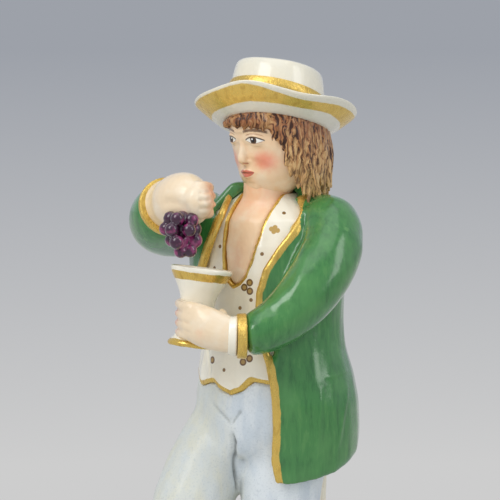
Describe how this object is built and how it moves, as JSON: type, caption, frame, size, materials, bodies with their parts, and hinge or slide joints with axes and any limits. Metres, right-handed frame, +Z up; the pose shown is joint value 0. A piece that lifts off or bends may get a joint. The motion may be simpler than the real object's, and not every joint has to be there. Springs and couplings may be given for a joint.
{
  "type": "glazed pottery figure of a grape picker",
  "caption": "Glazed and gilded pottery figure of a standing young grape picker in a green coat and broad-brimmed hat, holding grapes over a goblet, on an oval base.",
  "frame": {"origin": "centre of the base's flat underside", "axes": "+Z up, the figure's front faces -Y, its left hand is towards +X"},
  "size_m": [0.058, 0.0551, 0.1545],
  "materials": {
    "white_glaze": "glossy warm white lead glaze",
    "cream_glaze": "glossy cream glaze",
    "black_enamel": "glossy black enamel",
    "pale_blue_enamel": "stippled pale grey-blue enamel under clear glaze",
    "flesh_enamel": "flesh-tinted enamel with blushes",
    "green_enamel": "deep green enamel with brush streaks",
    "gilding": "burnished gilding over glaze",
    "purple_enamel": "glossy purple enamel",
    "brown_enamel": "brushed brown enamel"
  },
  "bodies": {
    "root": {"base": "white_glaze", "left_shoe": "black_enamel", "right_shoe": "black_enamel", "left_stocking": "white_glaze", "right_stocking": "white_glaze", "breeches_seat": "pale_blue_enamel", "left_breeches_leg": "pale_blue_enamel", "right_breeches_leg": "pale_blue_enamel", "waistcoat": "white_glaze", "bare_chest": "flesh_enamel", "coat": "green_enamel", "left_front_edging": "gilding", "right_front_edging": "gilding", "tree_stump": "cream_glaze", "left_sleeve": "green_enamel", "left_cuff": "gilding", "left_shirt_cuff": "white_glaze", "goblet": "white_glaze", "left_hand": "flesh_enamel", "right_sleeve": "green_enamel", "right_cuff": "gilding", "right_hand": "flesh_enamel", "grape_bunch": "purple_enamel", "head": "flesh_enamel", "hair": "brown_enamel", "hat_brim": "white_glaze", "hat_band": "gilding", "hat_crown": "white_glaze"}
  },
  "joints": []
}
